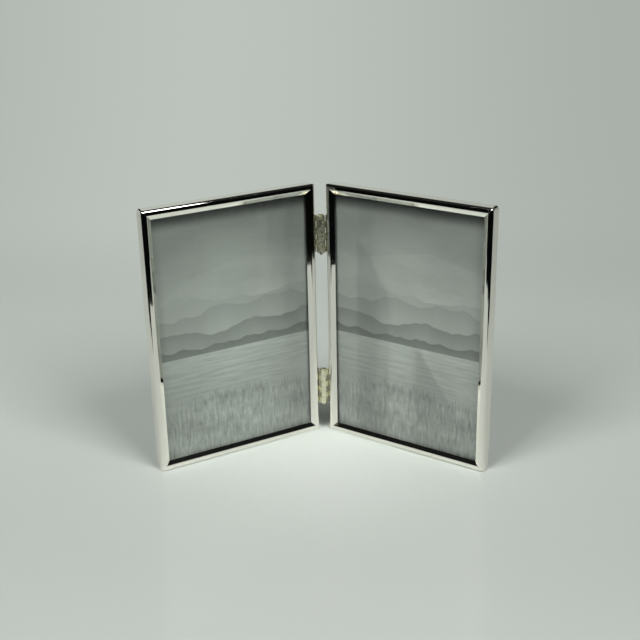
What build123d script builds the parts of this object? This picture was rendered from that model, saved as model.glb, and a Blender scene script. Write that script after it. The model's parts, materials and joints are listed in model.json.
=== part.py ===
from build123d import *

import os
from math import cos, radians, sin

# Glass, print and back, stacked from the sight edge to the rear
print_width = 101.6
print_height = 152.4
print_thickness = 0.2
print_side_clearance = 0.2
print_end_clearance = 0.8
glass_thickness = 1.5
glass_clearance = 0.1
card_thickness = 0.6
board_thickness = 1.5
velvet_thickness = 0.3
velvet_overhang = 0.1
pane_clearance = 0.3
pane_corner = 0.8

# Bent sheet moulding: flat side, round crest, flat front, bevel down to the sight edge, rear lip
metal_sheet = 0.7
crest_radius = 1.4
front_flat = 1.8
bevel_width = 2.4
bevel_drop = 1.4
bevel_bend = 2.0
rear_bend_inside = 0.2
rear_lip = 1.0
corner_radius = 1.5

# Turn tabs riveted to the back board, which reach under the rear lips
tab_radius = 3.0
tab_thickness = 0.5
tab_inset = 9.0
tab_tip_clearance = 0.2
tab_lip_clearance = 0.15
tab_height = 39.5
tab_lift = 0.3
tab_edge = 0.12
tab_rib_length = 3.4
tab_rib_width = 1.2
tab_rib_height = 0.4
tab_rib_share = 0.6
tab_rivet_radius = 0.9
tab_rivet_shoulder = 1.6
tab_rivet_head = 1.8
tab_rivet_dome = 0.4

# Hinges on the inner sides of the two frames, which stand open at this angle
standing_angle = 117.4
hinge_height = 22.4
hinge_inset = 30.0
hinge_lead = 1.1
leaf_thickness = 0.9
leaf_reach = 6.9
leaf_corner = 0.8
barrel_radius = 2.55
barrel_shift = 0.05
knuckle_count = 6
knuckle_gap = 0.12
pin_radius = 1.1
pin_tail = 1.9
pin_point = 0.4
pin_head_radius = 1.6
pin_head_height = 0.5
pin_head_edge = 0.2
hinge_rivet_radius = 0.8
hinge_rivet_edge = 5.2
hinge_rivet_tail = 0.5
rivet_sink_share = 0.78
countersink_angle = 90

# Fits
running_clearance = 0.05
turning_clearance = 0.35

# Depths below the front face
glass_front = bevel_drop + metal_sheet + glass_clearance
print_front = glass_front + glass_thickness
card_front = print_front + print_thickness
board_front = card_front + card_thickness
velvet_front = board_front + board_thickness
velvet_back = velvet_front + velvet_thickness
tab_front = velvet_back + tab_lift + running_clearance
tab_back = tab_front + tab_thickness
frame_depth = tab_back + tab_lip_clearance + metal_sheet

# What goes in from the rear passes between the rear lips
pane_margin = metal_sheet + rear_lip + pane_clearance
pane_width = print_width + 2 * print_side_clearance
pane_height = print_height + 2 * print_end_clearance
frame_width = pane_width + 2 * pane_margin
frame_height = pane_height + 2 * pane_margin
face_width = crest_radius + front_flat + bevel_width
rear_bend = metal_sheet + rear_bend_inside

# Both frames lean back from the X axis by this angle, mirrored about the YZ plane
lean = radians((180 - standing_angle) / 2)
outward = Vector(-cos(lean), -sin(lean), 0)
front = Vector(sin(lean), -cos(lean), 0)
up = Vector(0, 0, 1)

# The hinge axis stands proud of the front faces, so that the frames can close face to face
hinge_gap = barrel_radius + barrel_shift
reach_to_back = (
    (hinge_lead + frame_depth - rear_bend) * cos(lean)
    - (hinge_gap + rear_bend) * sin(lean)
    + rear_bend
)
reach_to_front = (
    (hinge_gap + frame_width - crest_radius) * sin(lean)
    - (hinge_lead + crest_radius) * cos(lean)
    + crest_radius
)
hinge_axis = Vector(0, (reach_to_front - reach_to_back) / 2, 0)

# The left frame's front face: X towards the hinges, Y up, Z out of the picture
outer_corner = hinge_axis + outward * (hinge_gap + frame_width) - front * hinge_lead
face = Plane(origin=outer_corner, x_dir=-outward, z_dir=front)
centre_x = frame_width / 2
centre_y = frame_height / 2
face_middle = (centre_x, centre_y)

tab_arm = tab_inset - metal_sheet - tab_tip_clearance - tab_radius
tab_spots = {
    "outer_low": (tab_inset, tab_height),
    "outer_high": (tab_inset, frame_height - tab_height),
    "hinge_low": (frame_width - tab_inset, tab_height),
    "hinge_high": (frame_width - tab_inset, frame_height - tab_height),
}

hinge_bases = {
    "lower": hinge_inset - hinge_height / 2,
    "upper": frame_height - hinge_inset - hinge_height / 2,
}
knuckle_pitch = hinge_height / knuckle_count

# Two rivets hold each leaf, half way between its barrel cut and its rear edge
hinge_rivet_depth = (hinge_gap + turning_clearance - hinge_lead + leaf_reach) / 2
hinge_rivet_sink = leaf_thickness * rivet_sink_share
hinge_rivet_head = hinge_rivet_radius + hinge_rivet_sink
hinge_rivet_heights = [
    base + edge
    for base in hinge_bases.values()
    for edge in (hinge_rivet_edge, hinge_height - hinge_rivet_edge)
]

nodes = []


def keep(piece, label):
    """Name a finished piece and put it on the list of pieces to write."""
    piece.part.label = label
    nodes.append(piece.part)


def keep_mirrored(piece, label):
    """The right frame's copy of a piece of the left frame."""
    with BuildPart() as copy:
        mirror(piece.part, about=Plane.YZ)
    keep(copy, label)


def keep_both(piece, name):
    """One piece for each frame."""
    keep(piece, f"left_{name}")
    keep_mirrored(piece, f"right_{name}")


def moulding(middle, inward, length):
    """A mitred length of moulding, rounded at the frame's outer corners. Inward points to the picture."""
    along = inward.cross(front)
    with BuildPart() as piece:
        with BuildSketch(Plane(origin=middle, x_dir=inward, z_dir=along)):
            with BuildLine():
                FilletPolyline(
                    (metal_sheet + rear_lip, -frame_depth),
                    (0, -frame_depth),
                    (0, 0),
                    (face_width - bevel_width, 0),
                    (face_width, -bevel_drop),
                    radius=[rear_bend, crest_radius, bevel_bend],
                )
                offset(amount=metal_sheet, side=Side.RIGHT)
            make_face()
        extrude(amount=length / 2, both=True)
        for end in (along, -along):
            mitre = Plane(origin=middle + end * (length / 2), z_dir=end + inward)
            split(bisect_by=mitre, keep=Keep.BOTTOM)
        with BuildSketch(face):
            with Locations(face_middle):
                RectangleRounded(frame_width, frame_height, corner_radius)
        extrude(amount=-frame_depth, mode=Mode.INTERSECT)
    return piece


def hinge_rivet_planes(distance):
    """A plane at each hinge rivet, facing the hinge axis, at this distance from the axis."""
    spot = hinge_axis + outward * distance - front * (hinge_lead + hinge_rivet_depth)
    return [Plane(origin=spot + up * height, x_dir=up, z_dir=-outward) for height in hinge_rivet_heights]


# Mouldings
across = face.x_dir * centre_x
upright = up * centre_y

keep_both(moulding(outer_corner + across, up, frame_width), "bottom_rail")
keep_both(moulding(outer_corner + across + up * frame_height, -up, frame_width), "top_rail")
keep_both(moulding(outer_corner + upright, face.x_dir, frame_height), "outer_stile")

hinge_side = outer_corner + face.x_dir * frame_width
plain_stile = moulding(hinge_side + upright, -face.x_dir, frame_height)
with BuildPart() as hinge_stile:
    add(plain_stile.part)
    for plane in hinge_rivet_planes(hinge_gap):
        with Locations(plane):
            Hole(radius=hinge_rivet_radius + running_clearance, depth=metal_sheet + running_clearance)
keep_both(hinge_stile, "hinge_stile")

# Glass, print, card, back board and velvet
with BuildPart() as glass:
    with BuildSketch(face.offset(-glass_front)):
        with Locations(face_middle):
            RectangleRounded(pane_width, pane_height, pane_corner)
    extrude(amount=-glass_thickness)
keep_both(glass, "glass")

with BuildPart() as print_sheet:
    with BuildSketch(face.offset(-print_front)):
        with Locations(face_middle):
            Rectangle(print_width, print_height)
    extrude(amount=-print_thickness)
keep_both(print_sheet, "print")

with BuildPart() as card:
    with BuildSketch(face.offset(-card_front)):
        with Locations(face_middle):
            Rectangle(pane_width, pane_height)
    extrude(amount=-card_thickness)
keep_both(card, "backing_card")

with BuildPart(face.offset(-board_front)) as board:
    with Locations(face_middle):
        Box(pane_width, pane_height, board_thickness, align=(Align.CENTER, Align.CENTER, Align.MAX))
    with Locations(*tab_spots.values()):
        CounterSinkHole(
            radius=tab_rivet_radius + running_clearance,
            counter_sink_radius=tab_rivet_head + running_clearance,
            counter_sink_angle=countersink_angle,
        )
keep_both(board, "back_board")

with BuildPart() as velvet:
    with BuildSketch(face.offset(-velvet_front)):
        with Locations(face_middle):
            RectangleRounded(pane_width + 2 * velvet_overhang, pane_height + 2 * velvet_overhang, pane_corner)
        with Locations(*tab_spots.values()):
            Circle(tab_rivet_shoulder + running_clearance, mode=Mode.SUBTRACT)
    extrude(amount=-velvet_thickness)
keep_both(velvet, "velvet_back")

# Turn tabs, one at each end of both long sides, and their rivets
for place, (spot_x, spot_y) in tab_spots.items():
    to_tip = -tab_arm if spot_x < centre_x else tab_arm
    with BuildPart() as tab:
        with BuildSketch(face.offset(-tab_front)):
            with Locations((spot_x + to_tip / 2, spot_y)):
                SlotCenterToCenter(tab_arm, 2 * tab_radius)
        extrude(amount=-tab_thickness)
        chamfer(tab.faces().sort_by(Axis(face.origin, front))[0].edges(), tab_edge)
        with BuildSketch(face.offset(-tab_back)):
            with Locations((spot_x + to_tip * tab_rib_share, spot_y)):
                SlotOverall(tab_rib_length, tab_rib_width, rotation=90)
        extrude(amount=-tab_rib_height)
        with Locations(face.offset(-tab_front) * Pos(spot_x, spot_y)):
            Hole(radius=tab_rivet_radius + running_clearance)
    keep_both(tab, f"tab_{place}")

with BuildPart() as tab_rivets:
    for spot in tab_spots.values():
        with BuildSketch(face.offset(-board_front)):
            with Locations(spot):
                Circle(tab_rivet_radius)
        extrude(amount=board_front - tab_back - running_clearance)
        with Locations(face.offset(-board_front) * Pos(*spot)):
            Cone(
                bottom_radius=tab_rivet_radius,
                top_radius=tab_rivet_head,
                height=tab_rivet_head - tab_rivet_radius,
                align=(Align.CENTER, Align.CENTER, Align.MAX),
            )
        with BuildSketch(face.offset(-velvet_front)):
            with Locations(spot):
                Circle(tab_rivet_shoulder)
        extrude(amount=-velvet_thickness - tab_lift)
        with BuildSketch(face.offset(-tab_back - running_clearance)):
            with Locations(spot):
                Circle(tab_rivet_head)
        extrude(amount=-tab_rivet_dome)
keep_both(tab_rivets, "tab_rivets")


def hinge_leaf(base, own_knuckles):
    """The left leaf of a hinge that stands at this height, with the knuckles that it carries."""
    at_axis = Plane(origin=hinge_axis + up * base, x_dir=outward, z_dir=up)
    with BuildPart() as leaf:
        with BuildSketch(at_axis):
            with Locations((hinge_gap, 0)):
                Rectangle(leaf_thickness, leaf_reach + hinge_lead, align=(Align.MAX, Align.MAX))
        extrude(amount=hinge_height)
        with BuildSketch(at_axis):
            Circle(hinge_gap + turning_clearance)
        extrude(amount=hinge_height, mode=Mode.SUBTRACT)
        for number in own_knuckles:
            with BuildSketch(at_axis.offset(number * knuckle_pitch + knuckle_gap / 2)):
                with Locations((barrel_shift, 0)):
                    Circle(barrel_radius)
                with Locations((hinge_gap, 0)):
                    Rectangle(leaf_thickness, hinge_gap + turning_clearance, align=(Align.MAX, Align.MAX))
                Circle(pin_radius + running_clearance, mode=Mode.SUBTRACT)
            extrude(amount=knuckle_pitch - knuckle_gap)
        rear_corners = leaf.edges().filter_by(Axis(hinge_axis, outward)).group_by(Axis(hinge_axis, front))[0]
        fillet(rear_corners, leaf_corner)
        for plane in hinge_rivet_planes(hinge_gap - leaf_thickness):
            if base < plane.origin.Z < base + hinge_height:
                with Locations(plane):
                    CounterSinkHole(
                        radius=hinge_rivet_radius + running_clearance,
                        counter_sink_radius=hinge_rivet_head + running_clearance,
                        depth=leaf_thickness + running_clearance,
                        counter_sink_angle=countersink_angle,
                    )
    return leaf


# Hinges: the left leaf has the top knuckle of the upper hinge, the right leaf that of the lower
even_knuckles = range(0, knuckle_count, 2)
odd_knuckles = range(1, knuckle_count, 2)
left_knuckles = {"upper": odd_knuckles, "lower": even_knuckles}
right_knuckles = {"upper": even_knuckles, "lower": odd_knuckles}

for place, base in hinge_bases.items():
    keep(hinge_leaf(base, left_knuckles[place]), f"{place}_hinge_left_leaf")
    keep_mirrored(hinge_leaf(base, right_knuckles[place]), f"{place}_hinge_right_leaf")

    with BuildPart() as pin:
        with BuildSketch(Plane.XY.offset(base - pin_tail)):
            with Locations(hinge_axis):
                Circle(pin_radius)
        extrude(amount=pin_tail + hinge_height)
        chamfer(pin.faces().sort_by(Axis.Z)[0].edges(), pin_point)
        with BuildSketch(Plane.XY.offset(base + hinge_height)):
            with Locations(hinge_axis):
                Circle(pin_head_radius)
        extrude(amount=pin_head_height)
        chamfer(pin.faces().sort_by(Axis.Z)[-1].edges(), pin_head_edge)
    keep(pin, f"{place}_hinge_pin")

# Rivets through the leaves and the stiles' side walls, closed inside the moulding
with BuildPart() as hinge_rivets:
    for plane in hinge_rivet_planes(hinge_gap - leaf_thickness):
        with BuildSketch(plane):
            Circle(hinge_rivet_radius)
        extrude(amount=-leaf_thickness - metal_sheet)
        with Locations(plane):
            Cone(
                bottom_radius=hinge_rivet_radius,
                top_radius=hinge_rivet_head,
                height=hinge_rivet_sink,
                align=(Align.CENTER, Align.CENTER, Align.MAX),
            )
    for plane in hinge_rivet_planes(hinge_gap + metal_sheet):
        with BuildSketch(plane):
            Circle(hinge_rivet_head)
        extrude(amount=-hinge_rivet_tail)
keep_both(hinge_rivets, "hinge_rivets")

os.makedirs("parts", exist_ok=True)
for node in nodes:
    export_step(node, f"parts/{node.label}.step")
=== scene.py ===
"""Looks of a hinged double photo frame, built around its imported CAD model, in metres unless noted."""
import json
import math

import bmesh
import bpy
from mathutils import Matrix, Vector


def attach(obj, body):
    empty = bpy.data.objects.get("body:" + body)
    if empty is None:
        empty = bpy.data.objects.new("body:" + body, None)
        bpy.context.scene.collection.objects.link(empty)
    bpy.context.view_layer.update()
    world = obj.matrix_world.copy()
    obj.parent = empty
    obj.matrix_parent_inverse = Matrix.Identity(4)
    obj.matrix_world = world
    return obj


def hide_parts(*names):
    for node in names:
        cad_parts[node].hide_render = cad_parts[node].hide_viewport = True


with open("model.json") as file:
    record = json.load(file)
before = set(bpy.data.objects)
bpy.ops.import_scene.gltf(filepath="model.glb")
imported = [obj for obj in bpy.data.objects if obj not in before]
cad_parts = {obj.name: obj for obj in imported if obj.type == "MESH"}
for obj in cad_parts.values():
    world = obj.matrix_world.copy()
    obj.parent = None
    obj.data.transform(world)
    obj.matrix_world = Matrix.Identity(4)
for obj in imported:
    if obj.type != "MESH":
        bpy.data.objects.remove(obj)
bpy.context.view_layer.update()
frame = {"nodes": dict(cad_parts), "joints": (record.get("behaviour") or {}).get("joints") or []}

MM = 0.001
MERGE_DISTANCE = 1e-7
UP = Vector((0, 0, 1))

# The frames' sizes, as in the CAD model
FRAME_WIDTH = 106 * MM
FRAME_HEIGHT = 158 * MM
FRAME_DEPTH = 8 * MM
SHEET = 0.7 * MM
CREST_RADIUS = 1.4 * MM
FACE_WIDTH = 5.6 * MM
BEVEL_WIDTH = 2.4 * MM
BEVEL_DROP = 1.4 * MM
BEVEL_BEND = 2.0 * MM
REAR_BEND = 0.9 * MM
REAR_LIP = 1.0 * MM
HINGE_GAP = 2.6 * MM
HINGE_LEAD = 1.1 * MM

# The velvet's and the tabs' sizes, as in the CAD model
BACK_WIDTH = 102.2 * MM
BACK_HEIGHT = 154.2 * MM
BACK_CORNER = 0.8 * MM
VELVET_FRONT = 6.0 * MM
VELVET_THICKNESS = 0.3 * MM
TAB_INSET = 9.0 * MM
TAB_HEIGHT = 39.5 * MM
TAB_ARM = 5.1 * MM
TAB_RADIUS = 3.0 * MM
TAB_FRONT = 6.65 * MM
TAB_BACK = 7.15 * MM
TAB_RIB_LENGTH = 3.4 * MM
TAB_RIB_WIDTH = 1.2 * MM
TAB_RIB_SHARE = 0.6

# The hinges' sizes, as in the CAD model, in plain millimetres
HINGE_HEIGHT = 22.4
HINGE_BASES = {"lower": 18.8, "upper": 116.8}
LEAF_THICKNESS = 0.9
LEAF_OUTER = HINGE_GAP / MM
LEAF_INNER = LEAF_OUTER - LEAF_THICKNESS
LEAF_REAR = 8.0
LEAF_CORNER = 0.8
BARREL_CUT = 2.95
BARREL_RADIUS = 2.55
BARREL_SHIFT = 0.05
KNUCKLES = 6
KNUCKLE_GAP = 0.12
PIN_RADIUS = 1.1
PIN_CLEARANCE = 0.05
PIN_TAIL = 1.9
PIN_HEAD_RADIUS = 1.6
PIN_HEAD_HEIGHT = 0.5
HINGE_RIVET_DEPTH = 5.475
HINGE_RIVET_EDGE = 5.2
HINGE_RIVET_HEIGHTS = (HINGE_RIVET_EDGE, HINGE_HEIGHT - HINGE_RIVET_EDGE)
HINGE_RIVET_RADIUS = 0.8
HINGE_RIVET_HEAD = 1.5

# Softer details that only the looks have
CORNER_FRONT = 1.1 * MM
CORNER_BACK = 2.3 * MM
CORNER_ANGLES = (45, 43, 36, 27, 18, 9, 0)
SEAM_WIDTH = 0.05 * MM
SEAM_DEPTH = 0.02 * MM
HINGE_SOFT_EDGE = 0.07 * MM

# How many degrees short of its leaf a knuckle's roll ends, and the slit there as shares across and down.
# Then how far the cutting solids reach past what they cut, in plain millimetres.
ROLL_END = 2.5
ROLL_SLIT = ((0.84, 0.72), (0.93, 0.70))
CUT_OVERSHOOT = 1
SINK_CLEARANCE = 0.12
SINK_START = 0.1
SINK_END = 2

# Tab edges and the tab's rib, as (inset, rise), and a tab rivet, as (radius, depth), in plain millimetres
TAB_EDGE = ((0.16, 0.0), (0.05, 0.04), (0.0, 0.12), (0.0, 0.30), (0.05, 0.42), (0.16, 0.50))
TAB_RIB_EDGE = ((-0.10, -0.12), (-0.10, 0.02), (-0.02, 0.07), (0.06, 0.22), (0.18, 0.36), (0.36, 0.40))
TAB_RIVET = (
    (0, 4.6), (0.85, 4.6), (0.85, 6.0), (1.6, 6.0), (1.6, 6.6), (0.9, 6.6), (0.9, 7.2),
    (1.7, 7.2), (1.8, 7.28), (1.72, 7.38), (1.5, 7.47), (1.1, 7.55), (0.6, 7.59), (0, 7.6),
)

# The velvet's mesh and pile
VELVET_EDGE_STEPS = 5
VELVET_STEP = 1.0 * MM
VELVET_UNDERSIDE = 0.01 * MM
VELVET_RIM = 0.06 * MM
VELVET_ROLL = 0.5 * MM
VELVET_WAVE = 0.05 * MM
VELVET_RIPPLE = 0.03 * MM
VELVET_DIMPLE = 0.12 * MM
VELVET_DIMPLE_RADIUS = 2.6 * MM

# A knuckle gets painted shade, standing for the shadow in the gap by the other leaf, from and to these
# distances past the hinge axis, with this much swing at the edge
PAINTED_SHADE_START = 0.5 * MM
PAINTED_SHADE_END = 2.1 * MM
PAINTED_SHADE_SWING = 0.25 * MM
PAINTED_SHADE_SHARE = 0.52
PIN_SHADE = 0.55

# The camera, fitted to the photograph. Angles are in degrees.
CAMERA_PLACE = Vector((25.66, -589.1, 318.24)) * MM
CAMERA_TURN = 2.535
CAMERA_PITCH = 21.725
CAMERA_ROLL = -1.186
SENSOR_WIDTH = 36.0
FOCAL_PIXELS = 1093.76
IMAGE_PIXELS = 640

# Lights: two softboxes that mirror each other, and a small narrow fill
SOFTBOX_PLACE = (0.46, -0.537, 0.843)
SOFTBOX_TARGET = (0.0, 0.0, 0.06)
SOFTBOX_SIZE = (0.41, 0.5)
SOFTBOX_POWER = 6.0
FILL_PLACE = (0.0, -0.55, 0.95)
FILL_TARGET = (0.003, 0.006, 0.0)
FILL_SIZE = (0.08, 0.08)
FILL_SPREAD = 9
FILL_POWER = 0.008

# The half outline of the floor that the metal mirrors. Its front shapes the frames' dark bands.
FLOOR_EDGE = (
    (1.1, 0), (1.1, -0.14), (0.29, -0.14), (0.268, -0.205), (0.2, -0.213),
    (0.128, -0.2), (0.1, -0.238), (0.065, -0.268), (0.01, -0.3),
)
FLOOR_REACH = 1.6
SWEEP_HALF_WIDTH = 1.1
SWEEP_MIDDLE = 0.2
SWEEP_START = 0.42
SWEEP_RADIUS = 0.30
WALL_TOP = 0.42
ROOM_RADIUS = 3.0
ROOM_COLOUR = (0.9, 1.0, 0.9, 1)
ROOM_GLOW = (0.002, 0.02)
ROOM_GLOW_START = 0.3

FLOOR_COLOUR = (0.672, 0.722, 0.672, 1)
BACKDROP_COLOUR = (0.485, 0.521, 0.485, 1)
BACKDROP_STRENGTH = 1.036

# Painted light in soft steps of the floor's tone, lighter towards the back and darker to the right: axis,
# start, end, share before and share after
FLOOR_PAINTED_LIGHT_STEPS = (("Y", -0.14, 0.09, 0.94, 1.17), ("Y", 0.10, 0.24, 1.0, 1.02), ("X", 0.0, 0.25, 1.0, 0.945))

# From and to where the floor goes matt, goes over into the backdrop, and fades out around the object
MATT_BLEND = (0.15, 0.40)
BACKDROP_BLEND = (0.10, 0.50)
FAR_BLEND = (0.45, 0.95)

# The backdrop glows with painted light, brightest left of its middle and falling off softly to both sides:
# place and share at each end
BACKDROP_PEAK = -0.15
BACKDROP_LEFT_END = (-0.5, 0.87)
BACKDROP_RIGHT_END = (0.35, 0.8)

# Each far layer of the landscape: height, swing, waves across, seed, tone at its edge, tone of its mist
HILLS = (
    (0.640, 0.10, 2.2, 1.7, 0.40, 0.47),
    (0.585, 0.09, 3.1, 5.2, 0.34, 0.46),
    (0.520, 0.07, 4.3, 9.4, 0.26, 0.43),
    (0.455, 0.04, 6.5, 3.3, 0.19, 0.36),
)
MIST_DEPTH = 0.10
RIDGE_BLUR = 0.0015
LAKE_SHORE = 0.425
SHORE_BLUR = 0.001
MEADOW_EDGE = 0.235
MEADOW_SWING = 0.04
PRINT_TINT = (0.94, 1.0, 0.93, 1)

# Painted shadow on the print under the moulding's top rail and inside its side rims, as shares of the frame's
# height and width
TOP_SHADE = (0.905, 0.95, 1.0, 0.26)
RIM_SHADE = (0.044, 0.064, 0.45, 1.0)

joints = {joint["name"]: joint for joint in frame["joints"]}
hinge_axis = Vector(joints["book_fold"]["pos_m"])
hinge_axis.z = 0
left_front = Vector(joints["left_tab_outer_low_turn"]["axis"])


class Side:
    """One frame's own axes: x from its outer edge to the hinges, y up, z out of the picture."""

    def __init__(self, name, sign):
        self.name = name
        self.sign = sign
        self.body = f"{name}_frame"
        self.front = Vector((sign * left_front.x, left_front.y, 0))
        self.inward = Vector((sign * -left_front.y, left_front.x, 0))
        self.corner = (
            hinge_axis - self.inward * (HINGE_GAP + FRAME_WIDTH) - self.front * HINGE_LEAD
        )

    def place(self, x, y, z):
        """A point of this frame's own axes, in the part's frame."""
        return self.corner + self.inward * x + UP * y + self.front * z

    def place_hinge(self, x, y, z):
        """A point in plain millimetres from the hinge axis: x to the frame's outer edge, y to its front."""
        return hinge_axis + (UP * z + self.front * y - self.inward * x) * MM


SIDES = (Side("left", 1), Side("right", -1))


# Node helpers

def new_material(name):
    """A node material with its tree, its surface socket and the place on the object."""
    material = bpy.data.materials.new(name)
    material.use_nodes = True
    tree = material.node_tree
    tree.nodes.clear()
    surface = tree.nodes.new("ShaderNodeOutputMaterial").inputs["Surface"]
    where = tree.nodes.new("ShaderNodeTexCoord").outputs["Object"]
    return material, tree, surface, where


def add_node(tree, kind, inputs=None, **settings):
    """One node. Inputs are values, or another node's output to link."""
    node = tree.nodes.new(kind)
    for name, value in settings.items():
        setattr(node, name, value)
    for key, value in (inputs or {}).items():
        socket = node.inputs[key]
        if isinstance(value, bpy.types.NodeSocket):
            tree.links.new(value, socket)
        else:
            socket.default_value = value
    return node


def noise(tree, vector, scale, detail=3.0, roughness=0.5, distortion=0.0):
    return add_node(tree, "ShaderNodeTexNoise", {
        "Vector": vector, "Scale": scale, "Detail": detail, "Roughness": roughness,
        "Distortion": distortion,
    }).outputs["Fac"]


def remap(tree, value, low, high, to_low=0.0, to_high=1.0, smooth=False):
    return add_node(
        tree, "ShaderNodeMapRange",
        {"Value": value, "From Min": low, "From Max": high, "To Min": to_low, "To Max": to_high},
        interpolation_type="SMOOTHSTEP" if smooth else "LINEAR",
    ).outputs["Result"]


def maths(tree, operation, *values):
    return add_node(tree, "ShaderNodeMath", dict(enumerate(values)), operation=operation).outputs[0]


def times(tree, first, second):
    return maths(tree, "MULTIPLY", first, second)


def mix_value(tree, factor, first, second):
    return add_node(tree, "ShaderNodeMix", {0: factor, 2: first, 3: second}).outputs[0]


def mix_colour(tree, factor, first, second, blend="MIX"):
    inputs = {0: factor, 6: first, 7: second}
    return add_node(tree, "ShaderNodeMix", inputs, data_type="RGBA", blend_type=blend).outputs[2]


def times_colour(tree, first, second):
    return mix_colour(tree, 1.0, first, second, "MULTIPLY")


def grey(tree, tone):
    return add_node(tree, "ShaderNodeCombineColor", {0: tone, 1: tone, 2: tone}).outputs[0]


def scaled(tree, vector, scale):
    return add_node(tree, "ShaderNodeMapping", {"Vector": vector, "Scale": scale}).outputs["Vector"]


def separate(tree, vector):
    return add_node(tree, "ShaderNodeSeparateXYZ", {"Vector": vector}).outputs


def reach_along(tree, where, way):
    """How far a place lies along a direction."""
    return add_node(
        tree, "ShaderNodeVectorMath", {0: where, 1: way}, operation="DOT_PRODUCT"
    ).outputs["Value"]


def bump(tree, height, strength, distance):
    return add_node(
        tree, "ShaderNodeBump", {"Strength": strength, "Distance": distance, "Height": height}
    ).outputs["Normal"]


def mix_shader(tree, factor, first, second):
    return add_node(
        tree, "ShaderNodeMixShader", {0: factor, 1: first.outputs[0], 2: second.outputs[0]}
    )


def principled(tree, inputs):
    return add_node(tree, "ShaderNodeBsdfPrincipled", inputs)


def show(tree, shader, surface):
    tree.links.new(shader.outputs[0], surface)


# Materials

def silver_material():
    """Mirror-polished silver plate: faint smears, hairline scratches and a slight patchy tarnish."""
    material, tree, surface, where = new_material("polished_silver")
    smear = noise(tree, where, 60.0, 4.0, 0.6)
    grain = noise(tree, scaled(tree, where, (900.0, 900.0, 90.0)), 3.0, 2.0)
    smear = remap(tree, smear, 0.4, 0.75, 0.03, 0.075)
    grain = remap(tree, grain, 0.5, 0.8, 0.0, 0.02)
    tarnish = remap(tree, noise(tree, where, 25.0, 5.0, 0.65), 0.5, 0.8, smooth=True)
    wave = noise(tree, scaled(tree, where, (1.0, 1.0, 0.35)), 90.0, 1.0)
    show(tree, principled(tree, {
        "Base Color": mix_colour(tree, tarnish, (0.93, 0.905, 0.845, 1), (0.90, 0.865, 0.77, 1)),
        "Metallic": 1.0,
        "Roughness": maths(tree, "ADD", smear, grain),
        "Normal": bump(tree, wave, 0.02, 0.0004),
    }), surface)
    return material


def brass_material(name, shade=1.0, away=None):
    """Dulled lacquered brass with small specks. Away points from a leaf to the side of its knuckles that gets
    painted shade, for the shadow in the gap by the other leaf.
    """
    material, tree, surface, where = new_material(name)
    patches = remap(tree, noise(tree, where, 450.0, 5.0, 0.6), 0.35, 0.75, smooth=True)
    colour = mix_colour(tree, patches, (0.93, 0.91, 0.70, 1), (0.84, 0.80, 0.57, 1))
    if away:
        # Painted shade: darker on the knuckle's side towards the other leaf, where the gap between them would
        # be in shadow
        swing = remap(tree, patches, 0.0, 1.0, -PAINTED_SHADE_SWING, PAINTED_SHADE_SWING)
        reach = maths(tree, "ADD", reach_along(tree, where, away), swing)
        shade = remap(tree, reach, PAINTED_SHADE_START, PAINTED_SHADE_END, shade, PAINTED_SHADE_SHARE * shade, True)
    show(tree, principled(tree, {
        "Base Color": times_colour(tree, colour, grey(tree, shade)),
        "Metallic": 1.0,
        "Roughness": remap(tree, noise(tree, where, 800.0, 4.0), 0.3, 0.7, 0.2, 0.34),
        "Normal": bump(tree, noise(tree, where, 1500.0, 3.0), 0.25, 0.0001),
    }), surface)
    return material


def steel_material():
    """Bright pressed steel: brushed along its grain, with faint rubbed spots."""
    material, tree, surface, where = new_material("tab_steel")
    brushed = noise(tree, scaled(tree, where, (250.0, 250.0, 6000.0)), 1.0, 3.0)
    spots = remap(tree, noise(tree, where, 350.0, 5.0, 0.6), 0.4, 0.7, smooth=True)
    show(tree, principled(tree, {
        "Base Color": mix_colour(tree, spots, (0.66, 0.65, 0.62, 1), (0.54, 0.53, 0.50, 1)),
        "Metallic": 1.0,
        "Roughness": remap(tree, brushed, 0.3, 0.7, 0.22, 0.38),
        "Normal": bump(tree, brushed, 0.15, 0.0001),
    }), surface)
    return material


def velvet_material():
    """Black short-pile velvet: brushed patches, a little lint, a soft sheen and a fine pile."""
    material, tree, surface, where = new_material("black_velvet")
    patches = remap(tree, noise(tree, where, 35.0, 4.0, 0.6, 0.8), 0.35, 0.7, smooth=True)
    pile = noise(tree, where, 2600.0, 2.0, 0.7)
    lint = remap(tree, noise(tree, where, 900.0, 2.0), 0.72, 0.80, 0.0, 0.35, True)
    colour = mix_colour(tree, patches, (0.008, 0.008, 0.009, 1), (0.022, 0.021, 0.023, 1))
    show(tree, principled(tree, {
        "Base Color": mix_colour(tree, lint, colour, (0.09, 0.09, 0.09, 1)),
        "Roughness": remap(tree, patches, 0.0, 1.0, 0.95, 0.8),
        "Specular IOR Level": 0.2,
        "Sheen Weight": 0.6,
        "Sheen Roughness": 0.35,
        "Sheen Tint": (0.75, 0.77, 0.85, 1),
        "Normal": bump(tree, pile, 0.7, 0.0002),
    }), surface)
    return material


def glass_material():
    """Clear picture glass with a faint green body and a trace of dust. Light reaches the print through it."""
    material, tree, surface, where = new_material("picture_glass")
    body = (0.97, 0.99, 0.975, 1)
    dust = remap(tree, noise(tree, where, 120.0, 6.0, 0.7), 0.45, 0.8, 0.0, 0.03)
    glass = principled(
        tree, {"Base Color": body, "Roughness": dust, "IOR": 1.4, "Transmission Weight": 1.0}
    )
    clear = add_node(tree, "ShaderNodeBsdfTransparent", {"Color": body})
    path = add_node(tree, "ShaderNodeLightPath").outputs
    passing = maths(tree, "MAXIMUM", path["Is Shadow Ray"], path["Is Diffuse Ray"])
    show(tree, mix_shader(tree, passing, glass, clear), surface)
    return material


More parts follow.
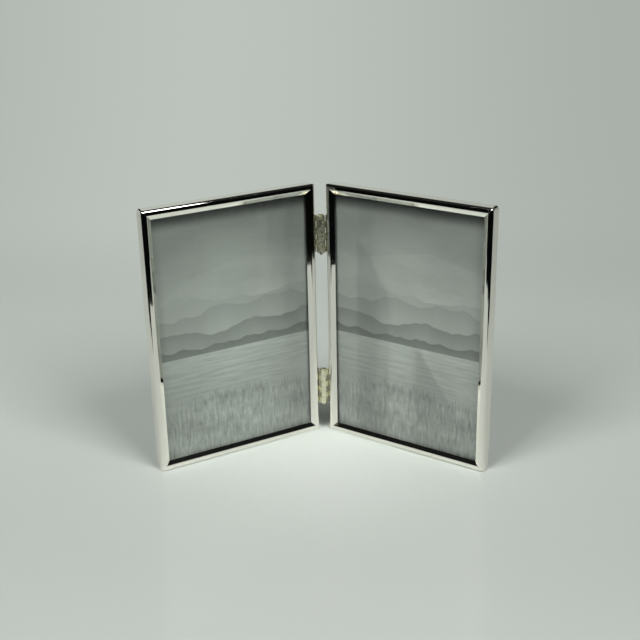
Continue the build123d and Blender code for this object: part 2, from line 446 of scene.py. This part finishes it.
def plain_material(name, colour, roughness, scale, depth=0.2):
    """A matt material with a mottled colour and a fine grain."""
    material, tree, surface, where = new_material(name)
    mottle = remap(tree, noise(tree, where, scale, 5.0, 0.6), 0.3, 0.7, 1.0 - depth, 1.0)
    show(tree, principled(tree, {
        "Base Color": times_colour(tree, colour, grey(tree, mottle)),
        "Roughness": roughness,
        "Normal": bump(tree, noise(tree, where, scale * 6), 0.3, 0.0002),
    }), surface)
    return material


# The pictures on the prints

def picture_coordinates(tree, side, where):
    """How far across and up the frame a place is, as shares of the frame's width and height."""
    start = side.corner.dot(side.inward)
    across = remap(tree, reach_along(tree, where, side.inward), start, start + FRAME_WIDTH)
    if side.name == "right":
        across = maths(tree, "SUBTRACT", 1.0, across)
    return across, remap(tree, separate(tree, where)["Z"], 0.0, FRAME_HEIGHT)


def picture_noise(tree, across, up, scales, seed, detail=4.0, roughness=0.55):
    """Noise that is stretched across or up the picture."""
    x, y = times(tree, across, scales[0]), times(tree, up, scales[1])
    where = add_node(tree, "ShaderNodeCombineXYZ", {0: x, 1: y, 2: seed}).outputs[0]
    return noise(tree, where, 1.0, detail, roughness)


def print_material(side):
    """A satin black and white print of hills in mist beyond a lake, with grass in front."""
    material, tree, surface, where = new_material(f"{side.name}_landscape")
    across, up = picture_coordinates(tree, side, where)
    clouds = picture_noise(tree, across, up, (2.0, 7.0), 12.0, 6.0, 0.6)
    sky = remap(tree, up, 0.60, 0.97, 0.46, 0.24)
    tone = times(tree, sky, remap(tree, clouds, 0.3, 0.7, 0.86, 1.14))
    for height, swing, waves, seed, edge_tone, mist_tone in HILLS:
        ridge = picture_noise(tree, across, 0.0, (waves, 0.0), seed, 7.0, 0.52)
        ridge = remap(tree, ridge, 0.25, 0.75, height - swing / 2, height + swing / 2)
        below = maths(tree, "SUBTRACT", ridge, up)
        mist = remap(tree, below, 0.0, MIST_DEPTH, edge_tone, mist_tone)
        tone = mix_value(tree, remap(tree, below, -RIDGE_BLUR, RIDGE_BLUR), tone, mist)

    ripples = picture_noise(tree, across, up, (5.0, 90.0), 20.0, 3.0)
    water = remap(tree, up, MEADOW_EDGE, LAKE_SHORE, 0.44, 0.52)
    water = times(tree, water, remap(tree, ripples, 0.3, 0.7, 0.84, 1.14))
    on_lake = remap(tree, up, LAKE_SHORE + SHORE_BLUR, LAKE_SHORE - SHORE_BLUR)
    tone = mix_value(tree, on_lake, tone, water)

    swell = picture_noise(tree, across, 0.0, (3.0, 0.0), 31.0, 3.0)
    swell = remap(tree, swell, 0.3, 0.7, MEADOW_EDGE - MEADOW_SWING, MEADOW_EDGE + MEADOW_SWING)
    blades = picture_noise(tree, across, up, (120.0, 9.0), 40.0, 2.0, 0.7)
    blades = remap(tree, blades, 0.35, 0.75, -0.015, 0.05)
    below = maths(tree, "SUBTRACT", maths(tree, "ADD", swell, blades), up)
    grass = picture_noise(tree, across, up, (70.0, 16.0), 50.0, 4.0, 0.7)
    banks = picture_noise(tree, across, up, (3.0, 14.0), 60.0, 3.0)
    meadow = times(tree, remap(tree, grass, 0.3, 0.7, 0.26, 0.56), remap(tree, banks, 0.3, 0.7, 0.8, 1.2))
    tone = mix_value(tree, remap(tree, below, -0.001, 0.002), tone, meadow)

    rim = maths(tree, "MINIMUM", across, maths(tree, "SUBTRACT", 1.0, across))
    # Painted shadow under the moulding: darker at the print's top edge and along its side rims
    tone = times(tree, tone, remap(tree, up, *TOP_SHADE, True))
    tone = times(tree, tone, remap(tree, rim, *RIM_SHADE, True))
    tone = times(tree, tone, remap(tree, noise(tree, where, 3500.0, 1.0), 0.3, 0.7, 0.96, 1.04))
    paper = noise(tree, where, 900.0, 2.0)
    show(tree, principled(tree, {
        "Base Color": times_colour(tree, grey(tree, tone), PRINT_TINT),
        "Roughness": remap(tree, paper, 0.3, 0.7, 0.4, 0.5),
        "Normal": bump(tree, paper, 0.05, 0.0001),
    }), surface)
    return material


def give(node_name, material):
    """Put one material on a CAD node."""
    mesh = frame["nodes"][node_name].data
    mesh.materials.clear()
    mesh.materials.append(material)


def dress_nodes():
    glass = glass_material()
    card = plain_material("backing_card", (0.62, 0.60, 0.54, 1), 0.9, 300.0)
    board = plain_material("hardboard", (0.20, 0.13, 0.08, 1), 0.8, 500.0, 0.4)
    for side in SIDES:
        give(f"{side.name}_glass", glass)
        give(f"{side.name}_print", print_material(side))
        give(f"{side.name}_backing_card", card)
        give(f"{side.name}_back_board", board)


# Mesh helpers

def add_object(name, data):
    thing = bpy.data.objects.new(name, data)
    bpy.context.scene.collection.objects.link(thing)
    return thing


def solid_mesh(name, verts, faces, merge=False):
    """A mesh whose faces look outwards, with points in one place merged where asked."""
    mesh = bpy.data.meshes.new(name)
    mesh.from_pydata([tuple(v) for v in verts], [], faces)
    shape = bmesh.new()
    shape.from_mesh(mesh)
    if merge:
        bmesh.ops.remove_doubles(shape, verts=shape.verts, dist=MERGE_DISTANCE)
    bmesh.ops.recalc_face_normals(shape, faces=shape.faces)
    shape.to_mesh(mesh)
    shape.free()
    return mesh


def new_piece(name, verts, faces, material, body, smooth_angle, bevel=None):
    """A mesh object that rides on a body, shaded smooth below the given angle."""
    mesh = solid_mesh(name, verts, faces, merge=True)
    mesh.materials.append(material)
    piece = add_object(name, mesh)
    mesh.polygons.foreach_set("use_smooth", [True] * len(mesh.polygons))
    if bevel:
        softer = piece.modifiers.new("soft_edges", "BEVEL")
        softer.width = bevel
        softer.segments = 2
        softer.limit_method = "ANGLE"
        softer.angle_limit = math.radians(smooth_angle)
    else:
        mesh.set_sharp_from_angle(angle=math.radians(smooth_angle))
    weighted = piece.modifiers.new("even_normals", "WEIGHTED_NORMAL")
    weighted.keep_sharp = True
    weighted.weight = 90
    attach(piece, body)
    return piece


def arc(centre, radius, start, end, steps):
    """Points of an arc, with its angles in degrees."""
    points = []
    for step in range(steps + 1):
        angle = math.radians(start + (end - start) * step / steps)
        points.append((centre[0] + radius * math.cos(angle), centre[1] + radius * math.sin(angle)))
    return points


def stacked(rings):
    """A solid from rings of points of equal length, closed by its first and last ring."""
    count = len(rings[0])
    verts = [point for ring in rings for point in ring]
    faces = []
    for number in range(len(rings) - 1):
        for index in range(count):
            after = (index + 1) % count
            faces.append((
                number * count + index, number * count + after,
                (number + 1) * count + after, (number + 1) * count + index,
            ))
    last = (len(rings) - 1) * count
    faces.append(tuple(reversed(range(count))))
    faces.append(tuple(last + index for index in range(count)))
    return verts, faces


def upright(outline, low, high):
    return stacked([[(x, y, z) for x, y in outline] for z in (low, high)])


def lathe(profile, place, steps=40):
    """A closed solid turned from (radius, height) pairs. The first and last radius are zero."""
    verts, rings = [], []
    for radius, height in profile:
        if radius == 0:
            rings.append([len(verts)])
            verts.append(place(0, 0, height))
            continue
        rings.append(list(range(len(verts), len(verts) + steps)))
        for step in range(steps):
            angle = 2 * math.pi * step / steps
            verts.append(place(radius * math.cos(angle), radius * math.sin(angle), height))
    faces = []
    for lower, upper in zip(rings, rings[1:]):
        for step in range(steps):
            after = (step + 1) % steps
            if len(lower) == 1:
                faces.append((lower[0], upper[after], upper[step]))
            elif len(upper) == 1:
                faces.append((lower[step], lower[after], upper[0]))
            else:
                faces.append((lower[step], lower[after], upper[after], upper[step]))
    return verts, faces


def joined(solids):
    """Several pairs of points and faces as one."""
    verts, faces = [], []
    for more_verts, more_faces in solids:
        faces += [tuple(index + len(verts) for index in face) for face in more_faces]
        verts += more_verts
    return verts, faces


def bare_solid(solid):
    """A pair of points and faces as an object, to join with others."""
    return add_object("bare_solid", solid_mesh("bare_solid", *solid))


def combine(first, solid, operation):
    """Unite an object with a pair of points and faces, or cut that pair out of it."""
    second = bare_solid(solid)
    joiner = first.modifiers.new("join", "BOOLEAN")
    joiner.operation = operation
    joiner.solver = "EXACT"
    joiner.object = second
    shaped = first.evaluated_get(bpy.context.evaluated_depsgraph_get())
    mesh = bpy.data.meshes.new_from_object(shaped)
    first.modifiers.clear()
    first.data = mesh
    bpy.data.objects.remove(second)
    return first


def finished(solid, name, place, material, body, bevel=None):
    """A joined solid as a piece, each point put in its place, with softened edges where asked."""
    verts = [place(*v.co) for v in solid.data.vertices]
    faces = [tuple(polygon.vertices) for polygon in solid.data.polygons]
    bpy.data.objects.remove(solid)
    return new_piece(name, verts, faces, material, body, 35, bevel)


# Mouldings

def sheet_outline():
    """The moulding's outline, out and back: distance from the outer side, and height out of the picture."""
    slope = math.degrees(math.atan2(BEVEL_DROP, BEVEL_WIDTH))
    bend_start = FACE_WIDTH - BEVEL_WIDTH - BEVEL_BEND * math.tan(math.radians(slope / 2))
    bend_centre = (bend_start, -BEVEL_BEND)
    rear_centre = (REAR_BEND, REAR_BEND - FRAME_DEPTH)
    crest_centre = (CREST_RADIUS, -CREST_RADIUS)
    along = (math.cos(math.radians(slope)), -math.sin(math.radians(slope)))
    down = (along[1], -along[0])

    outside = [(SHEET + REAR_LIP, -FRAME_DEPTH)]
    outside += arc(rear_centre, REAR_BEND, 270, 180, 6)
    outside += arc(crest_centre, CREST_RADIUS, 180, 90, 18)
    outside += arc(bend_centre, BEVEL_BEND, 90, 90 - slope, 6)
    outside.append((FACE_WIDTH, -BEVEL_DROP))

    inside = [(FACE_WIDTH + down[0] * SHEET, -BEVEL_DROP + down[1] * SHEET)]
    inside += arc(bend_centre, BEVEL_BEND - SHEET, 90 - slope, 90, 4)
    inside += arc(crest_centre, CREST_RADIUS - SHEET, 90, 180, 8)
    inside += arc(rear_centre, REAR_BEND - SHEET, 180, 270, 4)
    inside.append((SHEET + REAR_LIP, SHEET - FRAME_DEPTH))
    return outside, inside


def shrunk(points, depth):
    """The same line of points, moved to its right by a small depth."""
    moved = []
    for index, (u, w) in enumerate(points):
        before = points[max(index - 1, 0)]
        after = points[min(index + 1, len(points) - 1)]
        along = Vector((after[0] - before[0], after[1] - before[1])).normalized()
        moved.append((u + along.y * depth, w - along.x * depth))
    return moved


def build_moulding(side, name, start, end, inward, material):
    """A mitred rail from one outer corner to the next, with half of each rounded corner."""
    outside, inside = sheet_outline()
    seam = shrunk(outside, SEAM_DEPTH) + inside
    along = (end - start).normalized()
    length = (end - start).length
    rings = []
    for at_end in (False, True):
        for angle in reversed(CORNER_ANGLES) if at_end else CORNER_ANGLES:
            at_mitre = angle == CORNER_ANGLES[0]
            clear = 0 if at_mitre else SEAM_WIDTH
            ring = []
            for u, w in seam if at_mitre else outside + inside:
                round_off = CORNER_FRONT - (CORNER_BACK - CORNER_FRONT) * w / FRAME_DEPTH
                if u < round_off:
                    s = round_off - (round_off - u) * math.sin(math.radians(angle))
                    d = round_off - (round_off - u) * math.cos(math.radians(angle))
                else:
                    s, d = u + clear, u
                point = start + along * (length - s if at_end else s) + inward * d
                ring.append(side.place(point.x, point.y, w))
            rings.append(ring)
    verts, faces = stacked(rings)
    node = f"{side.name}_{name}"
    piece = new_piece(f"{node}_moulding", verts, faces, material, side.body, 30)
    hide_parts(node)


def build_mouldings(material):
    w, h = FRAME_WIDTH, FRAME_HEIGHT
    corners = [Vector((0, 0, 0)), Vector((w, 0, 0)), Vector((w, h, 0)), Vector((0, h, 0))]
    names = ("bottom_rail", "hinge_stile", "top_rail", "outer_stile")
    inwards = (Vector((0, 1, 0)), Vector((-1, 0, 0)), Vector((0, -1, 0)), Vector((1, 0, 0)))
    for side in SIDES:
        for index, (name, inward) in enumerate(zip(names, inwards)):
            build_moulding(side, name, corners[index], corners[(index + 1) % 4], inward, material)


# Hinges, shaped in plain millimetres from the hinge axis

def bore(radius):
    """An upright cylinder on the hinge axis that reaches past both ends of the hinge."""
    circle = arc((0, 0), radius, 0, 360, 56)[:-1]
    return upright(circle, -CUT_OVERSHOOT, HINGE_HEIGHT + CUT_OVERSHOOT)


def knuckle_outline():
    """A rolled knuckle with its tail on the leaf, and the fine slit where the roll closes."""
    meet = -math.sqrt(BARREL_RADIUS ** 2 - (LEAF_INNER - BARREL_SHIFT) ** 2)
    turn = math.degrees(math.atan2(meet, LEAF_INNER - BARREL_SHIFT))
    outline = arc((BARREL_SHIFT, 0), BARREL_RADIUS, 0, 360 + turn - ROLL_END, 60)
    outline += [(LEAF_INNER * across, meet * down) for across, down in ROLL_SLIT]
    outline += [(LEAF_INNER, -BARREL_CUT), (LEAF_OUTER, -BARREL_CUT)]
    return outline


def build_leaf(side, hinge, numbers, material):
    """A leaf with every second knuckle, countersunk for its two rivets."""
    plate = [(0.0, 0.0), (0.0, HINGE_HEIGHT)]
    plate += arc((-LEAF_REAR + LEAF_CORNER, HINGE_HEIGHT - LEAF_CORNER), LEAF_CORNER, 90, 180, 8)
    plate += arc((-LEAF_REAR + LEAF_CORNER, LEAF_CORNER), LEAF_CORNER, 180, 270, 8)
    leaf = bare_solid(stacked([[(x, y, z) for y, z in plate] for x in (LEAF_INNER, LEAF_OUTER)]))
    leaf = combine(leaf, bore(BARREL_CUT), "DIFFERENCE")
    pitch = HINGE_HEIGHT / KNUCKLES
    for number in numbers:
        low = number * pitch + KNUCKLE_GAP / 2
        leaf = combine(leaf, upright(knuckle_outline(), low, low + pitch - KNUCKLE_GAP), "UNION")
    leaf = combine(leaf, bore(PIN_RADIUS + PIN_CLEARANCE), "DIFFERENCE")
    wide, narrow = HINGE_RIVET_HEAD + SINK_CLEARANCE, HINGE_RIVET_RADIUS
    profile = [(0, -SINK_START), (wide, -SINK_START), (narrow, wide - narrow - SINK_START)]
    profile += [(narrow, SINK_END), (0, SINK_END)]
    for height in HINGE_RIVET_HEIGHTS:
        sink = lathe(profile, lambda a, b, h: (LEAF_INNER + h, a - HINGE_RIVET_DEPTH, b + height))
        leaf = combine(leaf, sink, "DIFFERENCE")
    name = f"{hinge}_hinge_{side.name}_leaf"
    piece = finished(
        leaf, f"{name}_rolled", lambda x, y, z: side.place_hinge(x, y, z + HINGE_BASES[hinge]),
        material, side.body, HINGE_SOFT_EDGE,
    )
    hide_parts(name)


def build_pin(hinge, material):
    """A pin with a pointed tail and a flat head with softened edges."""
    head, low, high = PIN_HEAD_RADIUS, -PIN_TAIL, HINGE_HEIGHT
    top = high + PIN_HEAD_HEIGHT
    profile = [(0, low), (0.45, low + 0.06), (0.78, low + 0.22), (0.98, low + 0.45), (PIN_RADIUS, low + 0.8)]
    profile += [(PIN_RADIUS, high), (head - 0.06, high), (head, high + 0.07)]
    profile += [(head, top - 0.2), (head - 0.09, top - 0.08), (head - 0.25, top), (0, top)]
    base = HINGE_BASES[hinge]
    verts, faces = lathe(profile, lambda x, y, z: hinge_axis + Vector((x, y, z + base)) * MM)
    piece = new_piece(f"{hinge}_hinge_pin_turned", verts, faces, material, "left_frame", 50)
    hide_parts(f"{hinge}_hinge_pin")


def build_hinge_rivets(side, material):
    """Rivets from the leaf's inner face, slightly domed, to their heads inside the moulding."""
    head, shank = HINGE_RIVET_HEAD, HINGE_RIVET_RADIUS
    wall = LEAF_THICKNESS + SHEET / MM
    profile = [(0, -0.09), (head * 0.5, -0.075), (head * 0.85, -0.035), (head, 0.02)]
    profile += [(shank, head - shank + 0.02), (shank, wall), (head, wall)]
    profile += [(head, wall + 0.3), (head - 0.2, wall + 0.5), (0, wall + 0.5)]
    solids = [
        lathe(
            profile,
            lambda a, b, h: side.place_hinge(LEAF_INNER + h, a - HINGE_RIVET_DEPTH, b + base + height),
            28,
        )
        for base in HINGE_BASES.values() for height in HINGE_RIVET_HEIGHTS
    ]
    verts, faces = joined(solids)
    piece = new_piece(f"{side.name}_hinge_rivets_set", verts, faces, material, side.body, 40)
    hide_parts(f"{side.name}_hinge_rivets")


def build_hinges():
    """Both hinges. The lower one's lowest knuckle is the left frame's, the upper one's the right frame's."""
    plain = brass_material("hinge_brass")
    dull = brass_material("pin_brass", PIN_SHADE)
    for side in SIDES:
        # Each leaf's knuckles get painted shade on their side towards the other leaf
        brass = brass_material(f"{side.name}_leaf_brass", away=Vector((side.sign, 0, 0)))
        for hinge in HINGE_BASES:
            first = 0 if (hinge == "lower") == (side.name == "left") else 1
            build_leaf(side, hinge, range(first, KNUCKLES, 2), brass)
        build_hinge_rivets(side, plain)
    for hinge in HINGE_BASES:
        build_pin(hinge, dull)


# Backs

def tab_spots():
    """Each tab's rivet on its frame's own axes, and the way that the tab points."""
    for across, x, way in (("outer", TAB_INSET, -1), ("hinge", FRAME_WIDTH - TAB_INSET, 1)):
        for up, y in (("low", TAB_HEIGHT), ("high", FRAME_HEIGHT - TAB_HEIGHT)):
            yield f"{across}_{up}", x, y, way


def slot_ring(x, y, length, radius, height, turned=False):
    """A long hole's outline about its middle. Length is between the two end centres."""
    ring = arc((length / 2, 0), radius, -90, 90, 14) + arc((-length / 2, 0), radius, 90, 270, 14)
    return [(x - v, y + u, height) if turned else (x + u, y + v, height) for u, v in ring]


def build_tab(side, place, x, y, way, material):
    """A turn tab pressed from sheet: rolled edges and a raised rib to grip."""
    middle = x + way * TAB_ARM / 2
    plate = stacked([
        slot_ring(middle, y, TAB_ARM, TAB_RADIUS - inset * MM, -TAB_FRONT - rise * MM)
        for inset, rise in TAB_EDGE
    ])
    rib_x = x + way * TAB_ARM * TAB_RIB_SHARE
    length, radius = TAB_RIB_LENGTH - TAB_RIB_WIDTH, TAB_RIB_WIDTH / 2
    rib = stacked([
        slot_ring(rib_x, y, length, radius - inset * MM, -TAB_BACK - rise * MM, True)
        for inset, rise in TAB_RIB_EDGE
    ])
    tab = combine(bare_solid(plate), rib, "UNION")
    name = f"{side.name}_tab_{place}"
    piece = finished(tab, f"{name}_pressed", side.place, material, name)
    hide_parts(name)


def build_tab_rivets(side, material):
    """Domed rivets with a shoulder under each tab."""
    profile = [(radius * MM, depth * MM) for radius, depth in TAB_RIVET]
    solids = [
        lathe(profile, lambda a, b, h: side.place(x + a, y + b, -h), 36)
        for _, x, y, _ in tab_spots()
    ]
    verts, faces = joined(solids)
    piece = new_piece(f"{side.name}_tab_rivets_set", verts, faces, material, side.body, 40)
    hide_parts(f"{side.name}_tab_rivets")


def spaced(length):
    """Places from one end of a length to the other, closer together near both ends."""
    near = [BACK_CORNER * n / VELVET_EDGE_STEPS for n in range(VELVET_EDGE_STEPS)]
    inner = length - 2 * BACK_CORNER
    count = round(inner / VELVET_STEP)
    middle = [BACK_CORNER + inner * n / count for n in range(count + 1)]
    return near + middle + [length - place for place in reversed(near)]


def rounded_place(u, v):
    """A place on the velvet's rectangle, drawn in where its corners are rounded."""
    corner_u = BACK_CORNER - min(u, BACK_WIDTH - u)
    corner_v = BACK_CORNER - min(v, BACK_HEIGHT - v)
    if corner_u <= 0 or corner_v <= 0:
        return u, v
    shrink = max(corner_u, corner_v) / math.hypot(corner_u, corner_v)
    x = BACK_CORNER - corner_u * shrink
    y = BACK_CORNER - corner_v * shrink
    return x if u < BACK_WIDTH / 2 else BACK_WIDTH - x, y if v < BACK_HEIGHT / 2 else BACK_HEIGHT - y


def velvet_height(x, y, edge):
    """The pile's surface above its rim: rolled edges, soft waves, and dimples at the rivets."""
    wave = math.sin(x * 160 + 1.3 * math.sin(y * 90)) * math.sin(y * 120 + 0.7)
    ripple = math.sin(x * 700 + y * 400) * math.sin(y * 610 - x * 230)
    top = VELVET_THICKNESS + VELVET_WAVE * wave + VELVET_RIPPLE * ripple
    for _, spot_x, spot_y, _ in tab_spots():
        away = math.hypot(x - spot_x, y - spot_y)
        top -= VELVET_DIMPLE * math.exp(-((away / VELVET_DIMPLE_RADIUS) ** 2))
    roll = min(edge / VELVET_ROLL, 1.0)
    return top * math.sqrt(max(1 - (1 - roll) ** 2, 0.0))


def build_velvet(side, material):
    """The velvet that covers the back board: one thin sheet with a softly uneven pile."""
    left = (FRAME_WIDTH - BACK_WIDTH) / 2
    low = (FRAME_HEIGHT - BACK_HEIGHT) / 2
    columns, rows = spaced(BACK_WIDTH), spaced(BACK_HEIGHT)
    upper, lower = [], []
    for v in rows:
        for u in columns:
            edge = min(u, v, BACK_WIDTH - u, BACK_HEIGHT - v)
            x, y = rounded_place(u, v)
            x, y = x + left, y + low
            upper.append(side.place(x, y, -VELVET_FRONT - VELVET_RIM - velvet_height(x, y, edge)))
            lower.append(side.place(x, y, -VELVET_FRONT - VELVET_UNDERSIDE))
    wide, tall, under = len(columns), len(rows), len(upper)
    faces = []
    for row in range(tall - 1):
        for column in range(wide - 1):
            a = row * wide + column
            quad = (a, a + 1, a + wide + 1, a + wide)
            faces += [quad, tuple(under + index for index in reversed(quad))]
    top = (tall - 1) * wide
    border = [(n, n + 1) for n in range(wide - 1)]
    border += [(top + n + 1, top + n) for n in range(wide - 1)]
    border += [(n * wide + wide - 1, (n + 1) * wide + wide - 1) for n in range(tall - 1)]
    border += [((n + 1) * wide, n * wide) for n in range(tall - 1)]
    faces += [(b, a, under + a, under + b) for a, b in border]
    node = f"{side.name}_velvet_back"
    piece = new_piece(f"{node}_cloth", upper + lower, faces, material, side.body, 60)
    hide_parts(node)


def build_backs(steel, velvet):
    for side in SIDES:
        build_velvet(side, velvet)
        build_tab_rivets(side, steel)
        for place, x, y, way in tab_spots():
            build_tab(side, place, x, y, way, steel)


# Stage, lights and camera

def across_tone(tree, across):
    """The painted fall in the backdrop's glow to both sides."""
    left_end, left_share = BACKDROP_LEFT_END
    right_end, right_share = BACKDROP_RIGHT_END
    left = remap(tree, across, left_end, BACKDROP_PEAK, left_share, 1.0, True)
    right = remap(tree, across, BACKDROP_PEAK, right_end, 1.0, right_share, True)
    return grey(tree, times(tree, left, right))


def floor_material():
    """A pale semi-gloss floor that goes over into a matt backdrop, which glows with painted light for the
    camera, reflections and glass.
    """
    material, tree, surface, where = new_material("pale_floor")
    parts = separate(tree, where)
    shade = remap(tree, noise(tree, where, 3.0, 2.0), 0.3, 0.7, 0.97, 1.0)
    # Painted light: the floor's colour steps lighter towards the back and darker to the right
    for axis, start, end, before, after in FLOOR_PAINTED_LIGHT_STEPS:
        shade = times(tree, shade, remap(tree, parts[axis], start, end, before, after, True))
    colour = times_colour(tree, FLOOR_COLOUR, grey(tree, shade))
    gloss = maths(tree, "SUBTRACT", 1.0, remap(tree, parts["Y"], *MATT_BLEND, smooth=True))
    matt = add_node(tree, "ShaderNodeBsdfDiffuse", {"Color": colour})
    glossy = principled(tree, {"Base Color": colour, "Roughness": 0.30, "IOR": 1.45})
    floor = mix_shader(tree, gloss, matt, glossy)

    path = add_node(tree, "ShaderNodeLightPath").outputs
    seen = maths(tree, "MAXIMUM", path["Is Camera Ray"], path["Is Glossy Ray"])
    seen = maths(tree, "MAXIMUM", seen, path["Is Transmission Ray"])
    # Painted light: far off, and for camera, glossy and transmission rays, the backdrop glows rather than
    # being lit
    seen = times(tree, seen, remap(tree, parts["Y"], *BACKDROP_BLEND, smooth=True))
    bright = tuple(value * BACKDROP_STRENGTH for value in BACKDROP_COLOUR[:3]) + (1,)
    even = times_colour(tree, bright, across_tone(tree, parts["X"]))
    backdrop = add_node(tree, "ShaderNodeEmission", {"Color": even, "Strength": 1.0})

    level = {0: where, 1: (1, 1, 0)}
    level = add_node(tree, "ShaderNodeVectorMath", level, operation="MULTIPLY").outputs["Vector"]
    distance = add_node(tree, "ShaderNodeVectorMath", {0: level}, operation="LENGTH").outputs["Value"]
    far = times(tree, path["Is Camera Ray"], remap(tree, distance, *FAR_BLEND, smooth=True))
    show(tree, mix_shader(tree, maths(tree, "MAXIMUM", seen, far), floor, backdrop), surface)
    return material


def room_material():
    """A dark room, a little lighter towards its ceiling."""
    material, tree, surface, where = new_material("dark_room")
    glow = remap(tree, separate(tree, where)["Z"], ROOM_GLOW_START, ROOM_RADIUS, *ROOM_GLOW)
    show(tree, add_node(tree, "ShaderNodeEmission", {"Color": ROOM_COLOUR, "Strength": glow}), surface)
    return material


def stage_piece(name, mesh, material, glossy=True, camera=True):
    mesh.materials.append(material)
    piece = add_object(name, mesh)
    piece.visible_glossy = glossy
    piece.visible_camera = camera


def stage_mesh(name, verts, faces):
    mesh = bpy.data.meshes.new(name)
    mesh.from_pydata(verts, [], faces)
    return mesh


def build_stage():
    """A floor that sweeps up to a low backdrop, inside a dark room that the camera doesn't see."""
    pale = floor_material()
    rows = [(0.0, 0.0), (SWEEP_MIDDLE, 0.0)]
    rows += [
        (SWEEP_START + y, z + SWEEP_RADIUS)
        for y, z in arc((0, 0), SWEEP_RADIUS, 270, 360, 24)
    ]
    rows.append((SWEEP_START + SWEEP_RADIUS, WALL_TOP))
    verts = [(x, y, z) for y, z in rows for x in (-SWEEP_HALF_WIDTH, SWEEP_HALF_WIDTH)]
    faces = [(2 * n, 2 * n + 1, 2 * n + 3, 2 * n + 2) for n in range(len(rows) - 1)]
    sweep = stage_mesh("sweep", verts, faces)
    sweep.polygons.foreach_set("use_smooth", [True] * len(faces))
    stage_piece("sweep", sweep, pale)

    apron = [(-x, y, 0) for x, y in FLOOR_EDGE] + [(x, y, 0) for x, y in reversed(FLOOR_EDGE)]
    count = len(apron)
    stage_piece("floor", stage_mesh("floor", apron, [tuple(range(count))]), pale)
    outer = [(x, -FLOOR_REACH if y < 0 else 0, 0) for x, y, _ in apron]
    faces = [(n, n + 1, count + n + 1, count + n) for n in range(1, count - 2)]
    stage_piece("floor_beyond", stage_mesh("floor_beyond", apron + outer, faces), pale, glossy=False)

    dome = bmesh.new()
    bmesh.ops.create_uvsphere(dome, u_segments=32, v_segments=16, radius=ROOM_RADIUS)
    room = bpy.data.meshes.new("room")
    dome.to_mesh(room)
    dome.free()
    stage_piece("room", room, room_material(), camera=False)

    world = bpy.data.worlds.new("pale_world")
    world.use_nodes = True
    world.node_tree.nodes["Background"].inputs["Color"].default_value = BACKDROP_COLOUR
    world.node_tree.nodes["Background"].inputs["Strength"].default_value = 1.0
    bpy.context.scene.world = world


def area_light(name, place, target, size, power, spread=180):
    data = bpy.data.lights.new(name, "AREA")
    data.shape = "RECTANGLE"
    data.size, data.size_y = size
    data.energy = power
    data.spread = math.radians(spread)
    light = add_object(name, data)
    light.location = place
    light.rotation_mode = "QUATERNION"
    light.rotation_quaternion = (Vector(target) - Vector(place)).to_track_quat("-Z", "Y")
    return light


def build_lights():
    x, y, z = SOFTBOX_PLACE
    for name, way in (("left_softbox", -1), ("right_softbox", 1)):
        area_light(name, (way * x, y, z), SOFTBOX_TARGET, SOFTBOX_SIZE, SOFTBOX_POWER)
    fill = area_light("front_fill", FILL_PLACE, FILL_TARGET, FILL_SIZE, FILL_POWER, FILL_SPREAD)
    fill.visible_glossy = False


def build_camera():
    data = bpy.data.cameras.new("camera")
    data.sensor_width = SENSOR_WIDTH
    data.lens = SENSOR_WIDTH * FOCAL_PIXELS / IMAGE_PIXELS
    data.clip_start = 0.01
    data.clip_end = 20.0
    camera = add_object("camera", data)
    turn, pitch, roll = (math.radians(a) for a in (CAMERA_TURN, CAMERA_PITCH, CAMERA_ROLL))
    ahead = Vector((-math.sin(turn) * math.cos(pitch), math.cos(turn) * math.cos(pitch), -math.sin(pitch)))
    right = ahead.cross(UP).normalized()
    above = right.cross(ahead)
    right, above = (
        right * math.cos(roll) + above * math.sin(roll),
        above * math.cos(roll) - right * math.sin(roll),
    )
    matrix = Matrix((right, above, -ahead)).transposed().to_4x4()
    matrix.translation = CAMERA_PLACE
    camera.matrix_world = matrix
    bpy.context.scene.camera = camera


build_camera()
build_stage()
build_lights()
dress_nodes()
build_mouldings(silver_material())
build_hinges()
build_backs(steel_material(), velvet_material())

bpy.context.scene.view_settings.view_transform = "Standard"
